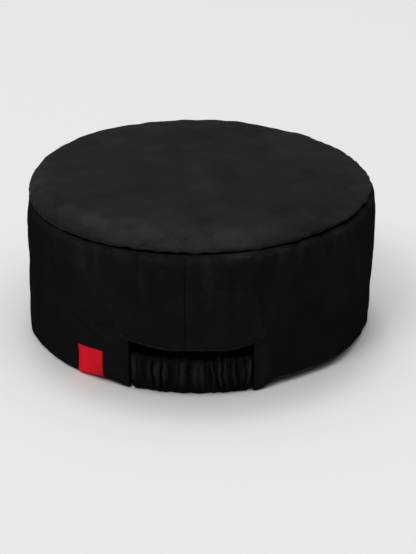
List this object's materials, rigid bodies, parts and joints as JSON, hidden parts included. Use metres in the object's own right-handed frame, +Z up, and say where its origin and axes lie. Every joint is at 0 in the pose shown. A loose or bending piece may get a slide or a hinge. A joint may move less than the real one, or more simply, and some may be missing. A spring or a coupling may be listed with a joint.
{
  "type": "chef cap",
  "caption": "Black cloth chef's cap with a flat round crown on a straight side band, gathered by elastic under a cut-out at the back.",
  "frame": {"origin": "centre of the hem ring, on the surface that the cap stands on", "axes": "+Z up through the crown, +Y towards the wearer's front, -Y towards the elastic at the back"},
  "size_m": [0.196, 0.1966, 0.0904],
  "materials": {
    "crown_twill": "matt twill weave",
    "band_twill": "matt twill weave",
    "lining": "plain weave",
    "interfacing": "bonded fibre",
    "sweatband": "soft towelling",
    "tape": "woven tape",
    "elastic": "braided elastic",
    "red_label": "woven label",
    "white_label": "satin ribbon",
    "thread": "polyester thread",
    "red_thread": "polyester thread",
    "white_thread": "polyester thread"
  },
  "bodies": {
    "cap": {"crown_top": "crown_twill", "crown_interfacing": "interfacing", "crown_lining": "lining", "side_band": "band_twill", "band_interfacing": "interfacing", "band_lining": "lining", "sweatband": "sweatband", "crown_seam_binding": "tape", "back_seam_tape": "tape", "back_opening_facing": "band_twill", "elastic_casing": "band_twill", "elastic_strip": "elastic", "side_label": "red_label", "care_label_tab": "white_label", "opening_topstitch": "thread", "elastic_stitch_left": "thread", "elastic_stitch_right": "thread", "crown_seam_thread": "thread", "binding_stitch": "thread", "sweatband_stitch": "thread", "back_seam_thread": "thread", "label_stitch": "red_thread", "care_label_stitch": "white_thread"},
    "care_label_flap": {"care_label": "white_label"}
  },
  "joints": [
    {"name": "care_label_swing", "type": "hinge", "parent": "cap", "child": "care_label_flap", "pos_m": [0.0918, 0, 0.0255], "axis": [0, 1, 0], "range_deg": [0, 140]}
  ]
}
